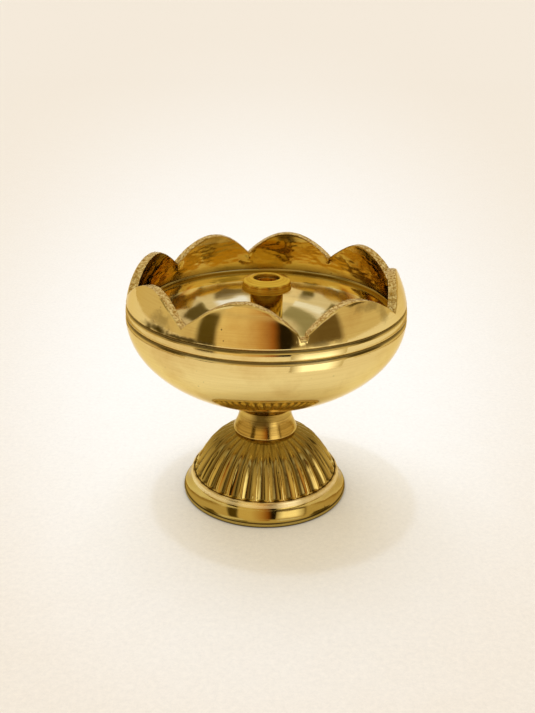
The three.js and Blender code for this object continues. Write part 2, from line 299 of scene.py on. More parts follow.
# %% [markdown]
# ## Steel and rubber
# The bolt and its washer are zinc-plated steel: grey, a little blue, with a fine crystalline mottle of about
# half a millimetre. The seal is moulded nitrile rubber, matt and almost black, with a soft grain.

# %% Steel and rubber materials
ZINC_MOTTLE_MM = 0.5
RUBBER_GRAIN_MM = 0.3


def grained(name, light, dark, metallic, roughness, grain_mm, depth_mm):
    material, tree = new_material(name)
    place = add(tree, "ShaderNodeTexCoord").outputs["Object"]
    grain = clouds(tree, place, repeats(grain_mm), 4)
    tint = mixed(tree, grain, linear(dark), linear(light))
    rough = ranged(tree, grain, 0, 1, roughness - 0.08, roughness + 0.08)
    shader = add(tree, "ShaderNodeBsdfPrincipled", {"Base Color": tint, "Metallic": metallic,
                                                    "Roughness": rough,
                                                    "Normal": bumped(tree, grain, depth_mm)})
    add(tree, "ShaderNodeOutputMaterial", {"Surface": shader.outputs[0]})
    return material


zinc = grained("zinc_plated_steel", "#C6C8C8", "#93979A", 1, 0.34, ZINC_MOTTLE_MM, 0.01)
rubber = grained("nitrile_rubber", "#2A2927", "#151413", 0, 0.75, RUBBER_GRAIN_MM, 0.02)
print("materials", zinc.name, rubber.name)

# %% [markdown]
# ## Turning a piece
# A turned piece starts as its cross-section: a flat face at the front of the lamp, whose corners are given as
# (radius, height, rounding) in millimetres. A vertex bevel rounds the corners, the face itself is deleted,
# and the loop of edges is spun round the axis. Curved stretches are passed as many points without rounding. A
# spin in hundreds of steps is slow, so a piece with many columns is spun over one sector, which is then
# repeated.

# %% Cross-section and spin
SHARP_ANGLE = 40


def cross_section(corners):
    mesh = bmesh.new()
    verts = [mesh.verts.new((0, -r * MM, z * MM)) for r, z, _ in corners]
    mesh.faces.new(verts)
    for vert, (_, _, rounding) in zip(verts, corners):
        if rounding:
            bmesh.ops.bevel(mesh, geom=[vert], offset=rounding * MM, offset_type="OFFSET", segments=4,
                            profile=0.5, affect="VERTICES", clamp_overlap=True, material=-1)
    bmesh.ops.delete(mesh, geom=mesh.faces[:], context="FACES_ONLY")
    return mesh


def spin(corners, steps, sectors=1):
    mesh = cross_section(corners)
    bmesh.ops.spin(mesh, geom=mesh.verts[:] + mesh.edges[:], cent=(0, 0, 0), axis=(0, 0, 1), dvec=(0, 0, 0),
                   angle=2 * math.pi / sectors, steps=steps // sectors, use_merge=sectors == 1,
                   use_duplicate=False)
    sector = mesh.verts[:] + mesh.edges[:] + mesh.faces[:]
    for i in range(1, sectors):
        copy = bmesh.ops.duplicate(mesh, geom=sector)["geom"]
        turned = [part for part in copy if isinstance(part, bmesh.types.BMVert)]
        turn = Matrix.Rotation(2 * math.pi * i / sectors, 3, "Z")
        bmesh.ops.rotate(mesh, verts=turned, cent=(0, 0, 0), matrix=turn)
    bmesh.ops.remove_doubles(mesh, verts=mesh.verts[:], dist=1e-7)
    bmesh.ops.recalc_face_normals(mesh, faces=mesh.faces[:])
    return mesh


def finish_piece(name, mesh, body, slot, *materials):
    piece = new_object(name, mesh, *materials)
    piece.data.shade_smooth()
    piece.data.set_sharp_from_angle(angle=math.radians(SHARP_ANGLE))
    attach(piece, body)
    print(name, "has", len(piece.data.polygons), "faces")
    return piece


# Writes the per-point number that holds tarnish and painted shade.
def paint_tarnish_and_shade(piece, amount_at):
    layer = piece.data.attributes.new("tarnish_and_shade", "FLOAT", "POINT")
    for vert in piece.data.vertices:
        layer.data[vert.index].value = amount_at(vert.co / MM)


def plain(points):
    return [(r, z, 0) for r, z in points]


def levels(low, high, count):
    return [low + (high - low) * i / (count - 1) for i in range(count)]


# %% [markdown]
# ## Sizes shared with the solid model
# The curves below are the same as those of the solids, so that the visible pieces lie on them. A swell is a
# round curve, widest at one height, that would close on the axis at another: the bowl's underside, the basin,
# the dome and the hollow under it are all swells. The underside is a little fuller than a swell halfway up,
# and the dome's lower part runs out like a skirt.

# %% Curves
BELLY_RADIUS = 39.98
BELLY_HEIGHT = 58.8
BULGE_LOW = 33
UNDERSIDE_BULGE = 0.6
DOME_LOW = 5.8
SKIRT_HIGH = 12
SKIRT_FULL = 6.9
DOME_SKIRT = 1.1
WALL_FOOT_RADIUS = 39.7
WALL_FOOT_HEIGHT = 61.6
WALL_LEAN = 0.175
WALL_CURVE = 0.0222
STEP_THICKNESS = 3.1
THINNING = 0.6
LEDGE_HEIGHT = 57.2
FLOOR_HEIGHT = 34.2
RIM_TOP = 71.8


def swell(radius, wide_height, close_height, roundness, fullness):
    def at(z):
        t = clamp((z - wide_height) / (close_height - wide_height))
        return radius * (1 - t ** roundness) ** (1 / fullness)
    return at


underside_swell = swell(BELLY_RADIUS, BELLY_HEIGHT, 30, 2.04, 1.68)
basin = swell(35.2, LEDGE_HEIGHT, 33.2, 2.1, 1.7)
dome_swell = swell(20.4, DOME_LOW, 21, 1.808, 2.216)
hollow = swell(18.6, DOME_LOW, 16.3, 2, 2.6)


def underside(z):
    share = clamp((z - BULGE_LOW) / (BELLY_HEIGHT - BULGE_LOW))
    return underside_swell(z) + UNDERSIDE_BULGE * math.sin(math.pi * share)


def dome(z):
    share = clamp((SKIRT_HIGH - z) / (SKIRT_HIGH - SKIRT_FULL))
    return dome_swell(z) + DOME_SKIRT * share ** 1.3


def wall(z):
    rise = z - WALL_FOOT_HEIGHT
    return WALL_FOOT_RADIUS - WALL_LEAN * rise - WALL_CURVE * rise * rise


def wall_thickness(z):
    share = (z - LEDGE_HEIGHT) / (RIM_TOP - LEDGE_HEIGHT)
    return STEP_THICKNESS - THINNING * share


print("belly", BELLY_RADIUS, "petal tip radius", round(wall(RIM_TOP), 2))

# %% [markdown]
# ## The bowl
# The bowl is one casting. Its cross-section runs from the bolt hole out over the boss, up the underside,
# through the two turned grooves and up the wall, over the rim and back down the inside, with a turned step
# where the basin begins. The grooves are V-shaped: their upper flank mirrors the bead below, their lower
# flank the dark ceiling, which draws the dark lines, and painted shade in the grooves darkens them further.
# The section is spun with a rim of one height. The petals come next.

# %% Bowl, spun
BOLT_HOLE = 3.2
NECK_TOP = 27.4
BOSS_RADIUS = 7.6
PETALS = 8
BOWL_COLUMNS = PETALS * 60
GROOVES = ((57.3, 58.8), (60.3, 61.6))
GROOVE_DEPTH = 0.6


def band(z):
    share = (z - BELLY_HEIGHT) / (WALL_FOOT_HEIGHT - BELLY_HEIGHT)
    return BELLY_RADIUS + (WALL_FOOT_RADIUS - BELLY_RADIUS) * share


def groove(low, high, radius_at):
    bottom = low + 0.42 * (high - low)
    return [(radius_at(low), low, 0.1), (radius_at(bottom) - GROOVE_DEPTH, bottom, 0.28),
            (radius_at(high), high, 0.16)]


def bowl_section():
    inner = [wall(z) - wall_thickness(z) for z in (RIM_TOP, LEDGE_HEIGHT + 0.5)]
    section = [(BOLT_HOLE, NECK_TOP, 0.2), (6.8, NECK_TOP, 0.1), (6.8, NECK_TOP + 0.7, 0.1),
               (BOSS_RADIUS, NECK_TOP + 0.9, 0.25), (BOSS_RADIUS + 0.1, 30.4, 0)]
    section += plain([(8.6, 30.95)] + [(underside(z), z) for z in (31.3, 31.8, 32.4, 33.1, 34)])
    section += plain([(underside(z), z) for z in levels(35, 57, 26)])
    section += groove(*GROOVES[0], underside)
    section += groove(*GROOVES[1], band)
    section += plain([(wall(z), z) for z in levels(62, RIM_TOP - 0.9, 24)])
    section += [(wall(RIM_TOP), RIM_TOP, 0.45)]
    section += plain([(wall(RIM_TOP) - wall_thickness(RIM_TOP) * s, RIM_TOP) for s in (0.3, 0.5, 0.7)])
    section += [(inner[0], RIM_TOP, 0.35)]
    section += plain([(wall(z) - wall_thickness(z), z) for z in levels(RIM_TOP - 0.9, 62, 24)])
    section += plain([(wall(z) - wall_thickness(z), z) for z in (61.2, 60.4)])
    section += [(inner[1], LEDGE_HEIGHT + 0.5, 0.7), (basin(LEDGE_HEIGHT), LEDGE_HEIGHT, 0.12)]
    section += plain([(basin(z), z) for z in levels(56.4, 36, 26)])
    section += plain([(basin(z), z) for z in (35.4, 34.8)])
    section += [(basin(FLOOR_HEIGHT), FLOOR_HEIGHT, 0.2), (BOLT_HOLE, FLOOR_HEIGHT, 0.2)]
    return section


bowl_mesh = spin(bowl_section(), BOWL_COLUMNS, PETALS)
print("bowl spun,", len(bowl_mesh.verts), "points")

# %% [markdown]
# ## The petals
# The eight notches were sawn and filed by hand, so their bearings and the petals' heights differ a little, as
# in the photograph. Each column of points first moves round to gather at the notches, where the edge turns
# sharply. Then the wall is stretched down to the petal's outline, an arch that falls with the square of the
# distance from the petal's middle. The rounding of the edge keeps its size. A slight wander stands for the
# hand on the file, and the notch at the front has the small flat nick that the saw left.

# %% Bowl, cut to petals
NOTCH_BEARINGS = (-33.3, 13.8, 60.8, 105, 148.4, 189.1, 228, 280.1)
NOTCH_HEIGHTS = (64, 64, 64, 64, 63.5, 63.6, 63.2, 64)
PETAL_TIPS = (71.8, 70.5, 71.2, 71.2, 71, 70.9, 70.8, 70.6)
PETAL_LEANS = (0, 0, 0, 0.25, 0, 0, 0, 0)
EVEN_WIDTH = 360 / PETALS
NICK_HALF_WIDTH = 0.75
NICK_SIDE = 0.45
NICK_FLOOR = 63.7
EDGE_DEPTH = 0.9
GATHER = 0.5
WANDER_MM = 0.1
WANDER_LENGTH_MM = 2.2


def petal_and_share(bearing):
    turn = (bearing % 360) / EVEN_WIDTH
    petal = int(turn) % PETALS
    share = turn - int(turn)
    return petal, share - GATHER * math.sin(2 * math.pi * share) / (2 * math.pi)


def real_bearing(petal, share):
    start = NOTCH_BEARINGS[petal]
    end = NOTCH_BEARINGS[petal + 1] if petal < PETALS - 1 else NOTCH_BEARINGS[0] + 360
    return start + (end - start) * share


def rim_height(petal, share):
    across = 2 * (share + PETAL_LEANS[petal] * share * (1 - share)) - 1
    notch = NOTCH_HEIGHTS[(petal + (1 if across > 0 else 0)) % PETALS]
    height = PETAL_TIPS[petal] + (notch - PETAL_TIPS[petal]) * across * across
    to_notch = min(share, 1 - share) * EVEN_WIDTH * math.radians(WALL_FOOT_RADIUS)
    if (petal == 0 and share > 0.5) or (petal == 1 and share < 0.5):
        nick = clamp((to_notch - NICK_HALF_WIDTH) / NICK_SIDE)
        height = NICK_FLOOR + (height - NICK_FLOOR) * nick * nick * (3 - 2 * nick)
    return height


def cut_petals(mesh):
    for vert in mesh.verts:
        radius = math.hypot(vert.co.x, vert.co.y) / MM
        height = vert.co.z / MM
        petal, share = petal_and_share(bearing_of(vert.co) + 1e-6)
        bearing = math.radians(real_bearing(petal, share))
        if height > WALL_FOOT_HEIGHT:
            offset = wall(height) - radius
            rim = rim_height(petal, share)
            wander = noise.noise(Vector((math.sin(bearing), math.cos(bearing), 0)) * 40 / WANDER_LENGTH_MM)
            rim += wander * WANDER_MM
            edge = RIM_TOP - EDGE_DEPTH
            if height > edge:
                height = rim - (RIM_TOP - height)
            else:
                reach = (height - WALL_FOOT_HEIGHT) / (edge - WALL_FOOT_HEIGHT)
                height = WALL_FOOT_HEIGHT + reach * (rim - EDGE_DEPTH - WALL_FOOT_HEIGHT)
            radius = wall(height) - offset
        vert.co = Vector((radius * math.sin(bearing), -radius * math.cos(bearing), height)) * MM


def nearest_share(bearing):
    for petal in range(PETALS):
        start, end = real_bearing(petal, 0), real_bearing(petal, 1)
        for lap in (-360, 0, 360):
            if start <= bearing + lap < end:
                return petal, (bearing + lap - start) / (end - start)
    return 0, 0


def mark_filed_edge(mesh):
    for face in mesh.faces:
        centre = face.calc_center_median() / MM
        petal, share = nearest_share(bearing_of(centre))
        skin = wall(centre.z) - math.hypot(centre.x, centre.y)
        if centre.z > rim_height(petal, share) - 0.28 and 0.1 < skin < wall_thickness(centre.z) - 0.05:
            face.material_index = 1


def mark_inside(mesh):
    for face in mesh.faces:
        centre = face.calc_center_median() / MM
        radius = math.hypot(centre.x, centre.y)
        in_basin = FLOOR_HEIGHT - 0.1 < centre.z <= LEDGE_HEIGHT + 1 and radius < basin(centre.z) + 1.5
        in_wall = centre.z > LEDGE_HEIGHT + 1 and radius < wall(centre.z) - 0.6 * wall_thickness(centre.z)
        if face.material_index == 0 and (in_basin or in_wall):
            face.material_index = 3 if radius < basin(LEDGE_HEIGHT) - 0.2 else 2


cut_petals(bowl_mesh)
mark_filed_edge(bowl_mesh)
mark_inside(bowl_mesh)
bowl = finish_piece("petal_bowl", bowl_mesh, "lamp", "cast_brass", bowl_outside, filed, bowl_inside_painted_deeper,
                    basin_brass_painted_paler)
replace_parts(bowl, "bowl")

# %% [markdown]
# ## Dark patches and painted shade on the bowl
# Dark patches are painted above the upper groove, mostly at the left of the front, two soft ones on the
# petal to the right and a few round the back. Each is an ellipse, given by bearing, height, half-width in
# degrees, half-height in millimetres and strength, whose edge is broken up by noise. Painted shade darkens
# the grooves, the turned step inside and the boss under the bowl.

# %% Stains on the bowl
DARK_PATCHES = ((-46, 62.3, 9, 1.3, 1.0), (-33, 61.9, 13, 0.7, 0.95), (-44, 64.4, 6, 2.2, 0.4),
          (44, 68.6, 8, 1.1, 0.45), (52, 65.6, 3.5, 2.4, 0.35), (20, 62.2, 9, 0.8, 0.5),
          (120, 62.4, 20, 1, 0.6), (200, 62.3, 24, 0.9, 0.6), (150, 66, 5, 2.5, 0.3), (250, 64, 8, 2, 0.35))
PATCH_GRAIN_MM = 2.5
BOSS_PAINTED_SHADE = 0.45
BOWL_GROOVE_PAINTED_SHADE = 0.85
STEP_PAINTED_SHADE = 0.55
STEP_INSIDE, STEP_OUTSIDE = 34.9, 37.5


def band_or_underside(z):
    return band(z) if z > BELLY_HEIGHT else underside(z)


def bowl_patches_and_shade(spot):
    radius = math.hypot(spot.x, spot.y)
    # Painted shade on the boss between the bowl and the neck.
    if spot.z < 31 and radius < 9:
        return BOSS_PAINTED_SHADE
    # Painted shade in the turned grooves, for their dark lines.
    for low, high in GROOVES:
        if low < spot.z < high and band_or_underside(spot.z) - 1 < radius < band_or_underside(spot.z) - 0.38:
            return BOWL_GROOVE_PAINTED_SHADE
    # Painted shade on the turned step inside, which dulls its highlight.
    if LEDGE_HEIGHT - 0.2 < spot.z < LEDGE_HEIGHT + 1.9 and STEP_INSIDE < radius < STEP_OUTSIDE:
        return STEP_PAINTED_SHADE
    if spot.z < WALL_FOOT_HEIGHT - 0.2 or radius < wall(spot.z) - 1:
        return 0
    # Dark patches: each an ellipse whose edge is broken up by noise.
    bearing = bearing_of(spot)
    broken = noise.fractal(spot / PATCH_GRAIN_MM, 0.6, 2.0, 4)
    amount = 0
    for middle, height, half_width, half_height, strength in DARK_PATCHES:
        turned = (bearing - middle + 180) % 360 - 180
        reach = math.hypot(turned / half_width, (spot.z - height) / half_height)
        cover = clamp(1.3 - reach + 0.5 * broken)
        amount = max(amount, strength * cover * cover * (3 - 2 * cover))
    return amount


paint_tarnish_and_shade(bowl, bowl_patches_and_shade)
print("dark patches painted:", len(DARK_PATCHES))

# %% [markdown]
# ## The foot
# The foot is a second casting: a thin bottom lip, a hollow flare that runs up from it to a soft brushed
# shoulder, and a dome with 32 flutes. The section is spun with many columns, and then the flutes are sunk
# into the dome, square to its surface. A rib is a narrow crest and a flute is hollow like a spoon, so each
# flute mirrors the whole front of the room in thin upright streaks. The flutes fade out below the neck and
# end in small arches above the groove. They were cut by hand, so their spacing wanders a little. The flutes
# are darkened, partly as tarnish and partly as painted shade. Painted shade also darkens the groove, the
# flutes' lower ends above it, the flare and the crease above the lip, and the dome a little and more and more
# towards the crown under the bowl; a painted contact shadow lies under the lip, and the lip is a little
# darker.

# %% Foot
FLUTES = 32
FOOT_COLUMNS = FLUTES * 20
FIRST_RIB = 3.6
FLUTE_PITCH = 360 / FLUTES
FLUTE_DEPTH = 0.85
FLUTE_LOW = 6.6
FLUTE_ARCH = 0.8
FLUTE_FADE = 5
LAND = 0.1
LAND_DROP = 0.12
CROWN = 19.35
CROWN_UNDERSIDE = 15.6
FLARE = ((24.78, 1.42), (24.5, 1.62), (24.2, 1.92), (23.9, 2.32), (23.6, 2.8), (23.32, 3.35), (23.08, 3.95),
         (22.88, 4.55), (22.74, 5.1))
UNDER_LIP = 0.4
LIP_LINE = 1.25
LIP_TOP = 1.45
LIP_INSIDE = 24.4
RIM_RADIUS = 22.72
SHOULDER_LOW, FLARE_TOP = 5.12, 5.2
SHOULDER_INSIDE = 21.7
GROOVE_LOW, GROOVE_HIGH = 6.2, 6.56
GROOVE_INSIDE, GROOVE_OUTSIDE = 21.3, 21.9
SHOULDER = ((22.62, 5.3), (22.5, 5.75), (22.36, 6.15), (22.2, 6.45), (22.0, 6.62), (21.8, 6.6))


def foot_section():
    section = [(22.2, 0, 0.3), (24.85, 0, 0.3), (24.95, 0.6, 0), (24.93, 1.1, 0), (24.86, 1.3, 0.05)]
    section += plain(FLARE + SHOULDER)
    section += [(21.65, 6.3, 0.06)]
    section += plain([(dome(z), z) for z in (6.5, 6.6, 6.7, 6.8, 6.9, 7.0, 7.1, 7.2, 7.35, 7.5, 7.7)])
    section += plain([(dome(z), z) for z in levels(7.95, 17, 34)])
    section += plain([(dome(z), z) for z in (17.35, 17.7, 18.05, 18.4, 18.7, 19.0)])
    section += [(9.7, CROWN, 0), (BOLT_HOLE, CROWN, 0.2), (BOLT_HOLE, CROWN_UNDERSIDE, 0.2)]
    section += plain([(hollow(z), z) for z in levels(CROWN_UNDERSIDE, DOME_LOW + 0.8, 12)])
    section += [(19.2, 5.4, 0.4), (21.2, 3.4, 0.4)]
    return section


def rib_crest(bearing):
    turn = (bearing - FIRST_RIB) / FLUTE_PITCH
    rib = round(turn)
    wander = noise.noise(Vector((rib % FLUTES * 1.7, 0.3, 0)))
    off = min(abs(turn - rib - 0.04 * wander), 0.5)
    if off < LAND:
        return 1 - LAND_DROP * (off / LAND) ** 2
    return (1 - LAND_DROP) * (1 - (off - LAND) / (0.5 - LAND)) ** 2


def sink_flutes(mesh):
    step = 0.05
    for vert in mesh.verts:
        spot = vert.co / MM
        radius = math.hypot(spot.x, spot.y)
        if spot.z < FLUTE_LOW or spot.z > CROWN - 0.1 or abs(radius - dome(spot.z)) > 0.02:
            continue
        crest = rib_crest(bearing_of(spot))
        rise = clamp((spot.z - FLUTE_LOW) / FLUTE_ARCH)
        arch = math.sqrt(rise * (2 - rise))
        fade = min((CROWN - spot.z) / FLUTE_FADE, 1)
        depth = FLUTE_DEPTH * (1 - crest) * arch * (radius / 21.4) ** 0.6 * (0.2 + 0.8 * fade)
        slope = (dome(spot.z + step) - dome(spot.z - step)) / (2 * step)
        length = math.hypot(1, slope)
        outward = Vector((vert.co.x, vert.co.y, 0)).normalized()
        vert.co += (outward * (-depth / length) + Vector((0, 0, depth * slope / length))) * MM


def mark_shoulder(mesh):
    for face in mesh.faces:
        centre = face.calc_center_median() / MM
        radius = math.hypot(centre.x, centre.y)
        if SHOULDER_INSIDE < radius < RIM_RADIUS + 0.01 and centre.z > SHOULDER_LOW:
            face.material_index = 1


def foot_tarnish_and_shade(spot):
    radius = math.hypot(spot.x, spot.y)
    # Painted contact shadow under the lip.
    if spot.z < UNDER_LIP:
        return 1
    # A painted dark line in the crease above the lip; below it the lip is a little darker.
    if spot.z < LIP_TOP and radius > LIP_INSIDE:
        return 0.95 if spot.z > LIP_LINE else 0.35
    # Painted shade: the flare is a little darker.
    if radius > RIM_RADIUS and spot.z < FLARE_TOP:
        return 0.2
    # The flutes are darker, partly as tarnish and partly as painted shade.
    flute = (1 - rib_crest(bearing_of(spot))) ** 2.2
    # Painted shade in the groove above the shoulder.
    if GROOVE_LOW < spot.z < GROOVE_HIGH and GROOVE_INSIDE < radius < GROOVE_OUTSIDE:
        return 0.9
    if spot.z < GROOVE_HIGH or radius < hollow(spot.z) + 0.6:
        return 0
    # Painted shade: darker towards the crown under the bowl, and in the flutes' lower ends above the groove.
    high = clamp((spot.z - 10) / 6)
    corner = clamp((8.2 - spot.z) / 1.4)
    return max(flute * max(0.85 - 0.1 * high, 0.7 * corner), 0.12 + 0.45 * high)


foot_mesh = spin(foot_section(), FOOT_COLUMNS, 8)
sink_flutes(foot_mesh)
mark_shoulder(foot_mesh)
foot = finish_piece("fluted_foot", foot_mesh, "lamp", "cast_brass", foot_brass, shoulder_brass)
paint_tarnish_and_shade(foot, foot_tarnish_and_shade)
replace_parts(foot, "foot")

# %% [markdown]
# ## The neck
# The neck is a short collar turned from bar. Its side is concave, and its lower edge is left sharp and
# overhangs the dome, which draws a dark line under it. The upper part of its front is darkened to brown as
# painted shade, a painted dark reflection broken into rings.

# %% Neck
NECK_STEPS = 160
NECK_SHADE_BEARING = -8
NECK_SHADE_HALF_WIDTH = 19
NECK_SHADE_LOW = 22.5
NECK_SHADE_LEVEL = 0.8


def neck_section():
    side = [(9.5, 20.5), (9.28, 21.1), (8.95, 21.8), (8.6, 22.6), (8.28, 23.4), (8.02, 24.2), (7.85, 25),
            (7.76, 25.7), (7.76, 26.3), (7.84, 26.8)]
    section = [(9.05, CROWN, 0.1), (9.05, CROWN + 0.4, 0.15), (9.56, CROWN + 0.85, 0.08)]
    section += plain(side)
    section += [(7.95, NECK_TOP - 0.1, 0.12), (7.5, NECK_TOP, 0.1), (BOLT_HOLE, NECK_TOP, 0.2),
                (BOLT_HOLE, CROWN, 0.2)]
    return section


neck = finish_piece("turned_neck", spin(neck_section(), NECK_STEPS), "lamp", "turned_brass", neck_brass)


# Painted shade: the upper front of the neck is darkened, a painted dark reflection broken into rings.
def neck_painted_shade(spot):
    turned = abs(bearing_of(spot) - NECK_SHADE_BEARING) / NECK_SHADE_HALF_WIDTH
    broken = noise.noise(Vector((bearing_of(spot) * 0.02, 0.7, spot.z * 2.5)))
    low = clamp((spot.z - NECK_SHADE_LOW) / 1.5)
    return NECK_SHADE_LEVEL * clamp(1.5 - turned + 0.5 * broken) * low


paint_tarnish_and_shade(neck, neck_painted_shade)
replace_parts(neck, "neck_collar")

# %% [markdown]
# ## Fasteners
# A hexagon is spun too: a washer-like section with a chamfered top, whose points are then pulled in to the
# flats. On a real nut the chamfer is a cone that cuts the corners of the hexagon, and taking the smaller of
# the cone's radius and the hexagon's radius gives just that. The thread is drawn as rings, because at a pitch
# of one millimetre a ring and a helix look the same.

# %% Hexagons and washers
ACROSS_FLATS = 10
HEX_CORNER = ACROSS_FLATS / 2 / math.cos(math.radians(30))
HEAD_TOP = CROWN_UNDERSIDE - 1.2
BOLT_END = HEAD_TOP + 30
STEM_SEAT = FLOOR_HEIGHT + 1.8
WASHER_STEPS = 96
HEXAGON_STEPS = 120
HEAD_HEIGHT = 4
SHANK_RADIUS = 2.95
THREAD_ROOT = 2.55
NUT_HEIGHT = 5
NUT_HOLE = 3.03
PITCH = 1.0


def flatten_to_hexagon(mesh, low, high):
    for vert in mesh.verts:
        radius = math.hypot(vert.co.x, vert.co.y) / MM
        height = vert.co.z / MM
        if radius < 4 or not low - 0.01 <= height <= high + 0.01:
            continue
        bearing = math.degrees(math.atan2(vert.co.y, vert.co.x)) % 60 - 30
        flat = ACROSS_FLATS / 2 / math.cos(math.radians(bearing))
        scale = min(radius, flat) / radius
        vert.co.x *= scale
        vert.co.y *= scale


def washer(name, inner, outer, low, high, slot, material):
    section = [(outer, low, 0.12), (outer, high, 0.2), (inner, high, 0.12), (inner, low, 0.12)]
    return finish_piece(name, spin(section, WASHER_STEPS), "lamp", slot, material)


def nut():
    low, high = STEM_SEAT, STEM_SEAT + NUT_HEIGHT
    section = [(5.1, low, 0), (HEX_CORNER, low + 0.4, 0), (HEX_CORNER, low + 1.5, 0),
               (HEX_CORNER, high - 1.5, 0), (HEX_CORNER, high - 0.4, 0), (5.0, high, 0), (3.5, high, 0),
               (NUT_HOLE, high - 0.5, 0), (NUT_HOLE, low + 0.5, 0), (3.5, low, 0)]
    mesh = spin(section, HEXAGON_STEPS)
    flatten_to_hexagon(mesh, low, high)
    return finish_piece("hexagon_nut", mesh, "lamp", "plain_brass", mill_brass)


def bolt():
    low = HEAD_TOP - HEAD_HEIGHT
    section = [(0.0, low, 0), (4.6, low, 0), (HEX_CORNER, low + 0.45, 0), (HEX_CORNER, low + 2, 0),
               (HEX_CORNER, HEAD_TOP, 0), (SHANK_RADIUS, HEAD_TOP, 0)]
    start = HEAD_TOP + 12
    section += [(SHANK_RADIUS, start, 0)]
    turns = int((BOLT_END - 0.6 - start) / PITCH)
    for i in range(turns):
        section += plain([(THREAD_ROOT, start + PITCH * (i + 0.35)),
                          (THREAD_ROOT, start + PITCH * (i + 0.5)),
                          (SHANK_RADIUS, start + PITCH * (i + 0.85)),
                          (SHANK_RADIUS, start + PITCH * (i + 1))])
    section += [(2.5, BOLT_END, 0), (0.0, BOLT_END, 0)]
    mesh = spin(section, HEXAGON_STEPS)
    flatten_to_hexagon(mesh, low, HEAD_TOP)
    return finish_piece("hexagon_bolt", mesh, "lamp", "plated_steel", zinc)


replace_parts(nut(), "clamp_nut")
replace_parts(bolt(), "tie_bolt")
base_washer = washer("plated_washer", BOLT_HOLE, 7, HEAD_TOP, CROWN_UNDERSIDE, "plated_steel", zinc)
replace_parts(base_washer, "base_washer")
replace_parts(washer("rubber_seal", BOLT_HOLE, 8, FLOOR_HEIGHT, FLOOR_HEIGHT + 1, "black_rubber", rubber),
            "seal_washer")
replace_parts(washer("brass_washer", BOLT_HOLE, 7.8, FLOOR_HEIGHT + 1, STEM_SEAT, "plain_brass", mill_brass),
            "clamp_washer")

# %% [markdown]
# ## The wick holder
# The holder is a tube whose skirt drops over the nut. Four ports in the skirt let the oil in and the wick's
# tail out. They are cut with a boolean, because a port is not round. The ring on top is a separate turned
# piece: its side opens downwards a little, its top is a shallow cone, and the wick comes out of its hole.

# %% Wick stem and ring
WICK_BORE = 3.7
STEM_RADIUS = 4.65
STEM_TOP = 66
SKIRT_TOP = 47
SKIRT_RADIUS = 7.3
PORT_WIDTH = 3.2
PORT_HEIGHT = 8.5
PORTS = 4
STEM_STEPS = 120
RING_STEPS = 160


def cut_ports(piece):
    ports = bmesh.new()
    for i in range(PORTS):
        turn = Matrix.Rotation(math.radians(45 + 360 * i / PORTS), 4, "Z")
        size = Matrix.Diagonal((PORT_WIDTH * MM, SKIRT_RADIUS * MM, 2 * PORT_HEIGHT * MM, 1))
        place = Matrix.Translation(Vector((0, SKIRT_RADIUS, STEM_SEAT)) * MM)
        bmesh.ops.create_cube(ports, size=1, matrix=turn @ place @ size)
    cutter = new_object("port_cutter", ports)
    cut = piece.modifiers.new("ports", "BOOLEAN")
    cut.operation = "DIFFERENCE"
    cut.solver = "EXACT"
    cut.object = cutter
    edge = piece.modifiers.new("port_edges", "BEVEL")
    edge.width = 0.15 * MM
    edge.segments = 2
    edge.limit_method = "ANGLE"
    edge.angle_limit = math.radians(50)
    bpy.context.view_layer.update()
    final = bpy.data.meshes.new_from_object(piece.evaluated_get(bpy.context.evaluated_depsgraph_get()))
    piece.modifiers.clear()
    piece.data = final
    bpy.data.objects.remove(cutter)


def stem():
    section = [(SKIRT_RADIUS, STEM_SEAT, 0.15), (SKIRT_RADIUS, SKIRT_TOP - 2.4, 0.5)]
    section += plain([(6.9, 45.15), (6.3, 45.6), (5.7, 46), (5.15, 46.45), (4.8, 46.95)])
    section += [(STEM_RADIUS, SKIRT_TOP + 0.5, 0), (STEM_RADIUS, STEM_TOP, 0.1), (WICK_BORE, STEM_TOP, 0.1),
                (WICK_BORE, SKIRT_TOP - 0.8, 0.2), (5.85, SKIRT_TOP - 2.6, 0.4), (5.85, STEM_SEAT, 0.15)]
    mesh = spin(section, STEM_STEPS)
    piece = finish_piece("wick_tube", mesh, "wick_holder", "turned_brass", turned_bright)
    cut_ports(piece)
    return piece


def ring():
    section = [(4.7, 64.15, 0.12), (7.05, 64.15, 0.12), (6.72, 66.6, 0.14), (4.0, 67.5, 0.2),
               (WICK_BORE, 67.2, 0.1), (WICK_BORE, 66.05, 0), (4.7, 66.05, 0)]
    mesh = spin(section, RING_STEPS)
    return finish_piece("coned_ring", mesh, "wick_holder", "turned_brass", ring_brass)


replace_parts(stem(), "wick_stem")
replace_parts(ring(), "wick_ring")

# %% [markdown]
# ## The paper
# The lamp stands on cream paper, with a painted pool of light: whitest round the lamp and cream outwards.
# Half of what the paper shows is a painted warm glow of its own, dimmed near the foot as a painted contact
# shadow, and half is real light from slightly blue lamps, so the shadow comes out warm, as in the photograph.
# Fibres and a faint mottle break it up. The world looks pale to rays that see it and is even white light for
# the rest, so the background stays clean in other views.

# %% Paper floor
FLOOR_REACH = 8
PAPER_MOTTLE_MM = 9
PAPER_FIBRE_MM = 1.4
OWN_GLOW = 0.5
CONTACT_MM = 17
PAINTED_POOL_MIDDLE = Vector((-0.0043, 0.9, -0.436))
PAINTED_POOL_START = 0.122
PAINTED_POOL_END = 0.409
GLOW_COLOUR = (1.0, 0.84, 0.56, 1)
PAINTED_POOL_WHITE = "#FFFFFF"
PAPER_CREAM = "#F2EADF"


def looked_at(tree):
    ray = add(tree, "ShaderNodeLightPath")
    seen = maths(tree, "MAXIMUM", ray.outputs["Is Camera Ray"], ray.outputs["Is Glossy Ray"])
    return maths(tree, "MAXIMUM", seen, ray.outputs["Is Transmission Ray"])


